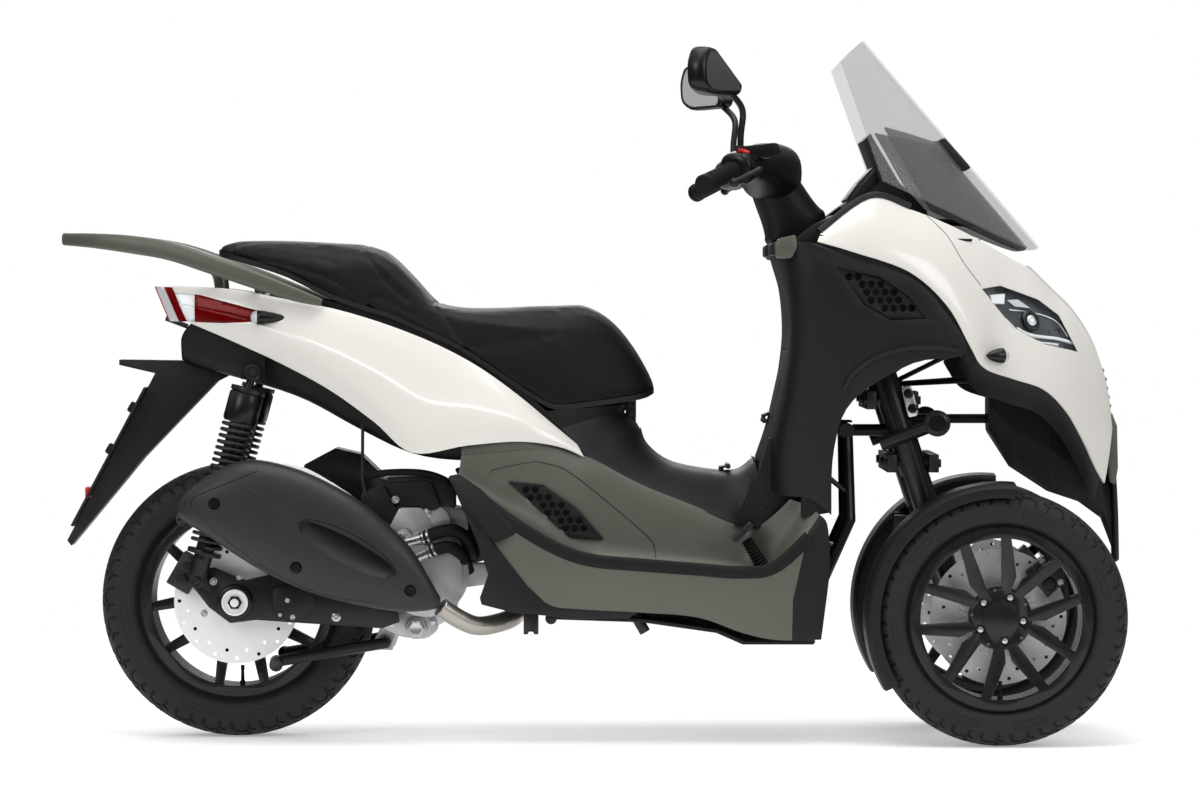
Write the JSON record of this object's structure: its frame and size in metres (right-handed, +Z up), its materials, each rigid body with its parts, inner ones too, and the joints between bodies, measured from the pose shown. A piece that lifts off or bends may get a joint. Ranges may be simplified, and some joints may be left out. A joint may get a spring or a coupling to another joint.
{
  "type": "three-wheel motor scooter",
  "caption": "Step-through motor scooter with paired steered front wheels on a tilting linkage, a rear engine and drive wheel, stepped seat, tall windscreen and tail rack.",
  "frame": {"origin": "on the ground, at the middle of the bounding box", "axes": "+X forwards, +Y to the rider's left, +Z up"},
  "size_m": [2.0397, 0.8134, 1.341],
  "materials": {
    "white_paint": "pearl gloss",
    "grey_green": "satin",
    "black_plastic": "grained",
    "satin_black": "satin",
    "spring_steel": "satin",
    "cast_alloy": "as cast",
    "bright_steel": "brushed",
    "red_lens": "clear red",
    "clear_lens": "clear",
    "screen": "clear",
    "mirror": "polished",
    "rubber": "ribbed",
    "tyre": "treaded",
    "seat_cover": "grained"
  },
  "bodies": {
    "chassis": {"frame": "satin_black", "head_frame": "satin_black", "engine": "cast_alloy", "cylinder_head": "satin_black", "air_box": "black_plastic", "rear_arm": "satin_black", "exhaust_pipe": "bright_steel", "silencer": "satin_black", "rear_shocks": "satin_black", "rear_springs": "spring_steel", "plate_holder": "black_plastic", "tail_lamps": "red_lens", "tail_cover": "black_plastic", "indicators": "black_plastic", "grab_rail": "grey_green", "storage_bin": "black_plastic", "side_panels": "white_paint", "floor_panels": "grey_green", "tunnel_cover": "black_plastic", "belly_pan": "black_plastic", "leg_shield": "black_plastic", "vent_grilles": "black_plastic", "fairing_sides": "white_paint", "nose_cover": "white_paint", "nose_strip": "black_plastic", "nose_liner": "black_plastic", "headlamps": "clear_lens", "screen_mount": "black_plastic", "windscreen": "screen", "dashboard": "black_plastic", "brake_pedal": "satin_black", "tilt_arms": "cast_alloy", "uprights": "satin_black", "glove_box": "black_plastic", "fuel_tank": "black_plastic", "lid_hinges": "satin_black"},
    "steering": {"handlebar": "satin_black", "bar_cover": "black_plastic", "grips": "rubber", "levers": "satin_black", "mirrors": "grey_green", "mirror_glass": "mirror"},
    "carrier_right": {"knuckle_right": "satin_black", "mudguard_right": "black_plastic"},
    "carrier_left": {"knuckle_left": "satin_black", "mudguard_left": "black_plastic"},
    "wheel_front_right": {"front_rim_right": "satin_black", "front_tyre_right": "tyre", "front_disc_right": "bright_steel"},
    "wheel_front_left": {"front_rim_left": "satin_black", "front_tyre_left": "tyre", "front_disc_left": "bright_steel"},
    "wheel_rear": {"rear_rim": "satin_black", "rear_tyre": "tyre", "rear_disc": "bright_steel"},
    "saddle": {"seat": "seat_cover"},
    "stand": {"centre_stand": "satin_black"},
    "glove_flap": {"glove_lid": "black_plastic"},
    "fuel_flap": {"fuel_lid": "black_plastic"}
  },
  "joints": [
    {"name": "steer", "type": "hinge", "parent": "chassis", "child": "steering", "pos_m": [0.336, 0, 1.093], "axis": [-0.454, 0, 0.891], "range_deg": [-32, 32]},
    {"name": "kingpin_right", "type": "hinge", "parent": "chassis", "child": "carrier_right", "pos_m": [0.70556, -0.135, 0.242], "axis": [-0.309, 0, 0.9511], "range_deg": [-32, 32]},
    {"name": "wheel_spin_front_right", "type": "hinge", "parent": "carrier_right", "child": "wheel_front_right", "pos_m": [0.77, -0.2325, 0.242], "axis": [0, 1, 0], "continuous": true},
    {"name": "kingpin_left", "type": "hinge", "parent": "chassis", "child": "carrier_left", "pos_m": [0.70556, 0.135, 0.242], "axis": [-0.309, 0, 0.9511], "range_deg": [-32, 32]},
    {"name": "wheel_spin_front_left", "type": "hinge", "parent": "carrier_left", "child": "wheel_front_left", "pos_m": [0.77, 0.2325, 0.242], "axis": [0, 1, 0], "continuous": true},
    {"name": "wheel_spin_rear", "type": "hinge", "parent": "chassis", "child": "wheel_rear", "pos_m": [-0.68, 0, 0.264], "axis": [0, 1, 0], "continuous": true},
    {"name": "seat_hinge", "type": "hinge", "parent": "chassis", "child": "saddle", "pos_m": [0.076, 0, 0.62], "axis": [0, 1, 0], "range_deg": [0, 60]},
    {"name": "stand_hinge", "type": "hinge", "parent": "chassis", "child": "stand", "pos_m": [-0.395, 0, 0.185], "axis": [0, -1, 0], "range_deg": [0, 100], "stiffness_Nm_per_rad": 8, "springref_deg": -28.65},
    {"name": "glove_hinge", "type": "hinge", "parent": "chassis", "child": "glove_flap", "pos_m": [0.3326, 0, 0.609], "axis": [0, -1, 0], "range_deg": [0, 80]},
    {"name": "fuel_hinge", "type": "hinge", "parent": "chassis", "child": "fuel_flap", "pos_m": [0.263, 0, 0.521], "axis": [0, 1, 0], "range_deg": [0, 100]}
  ],
  "couplings": [
    {"joint": "kingpin_right", "follows": "steer", "ratio": 1},
    {"joint": "kingpin_left", "follows": "steer", "ratio": 1}
  ]
}
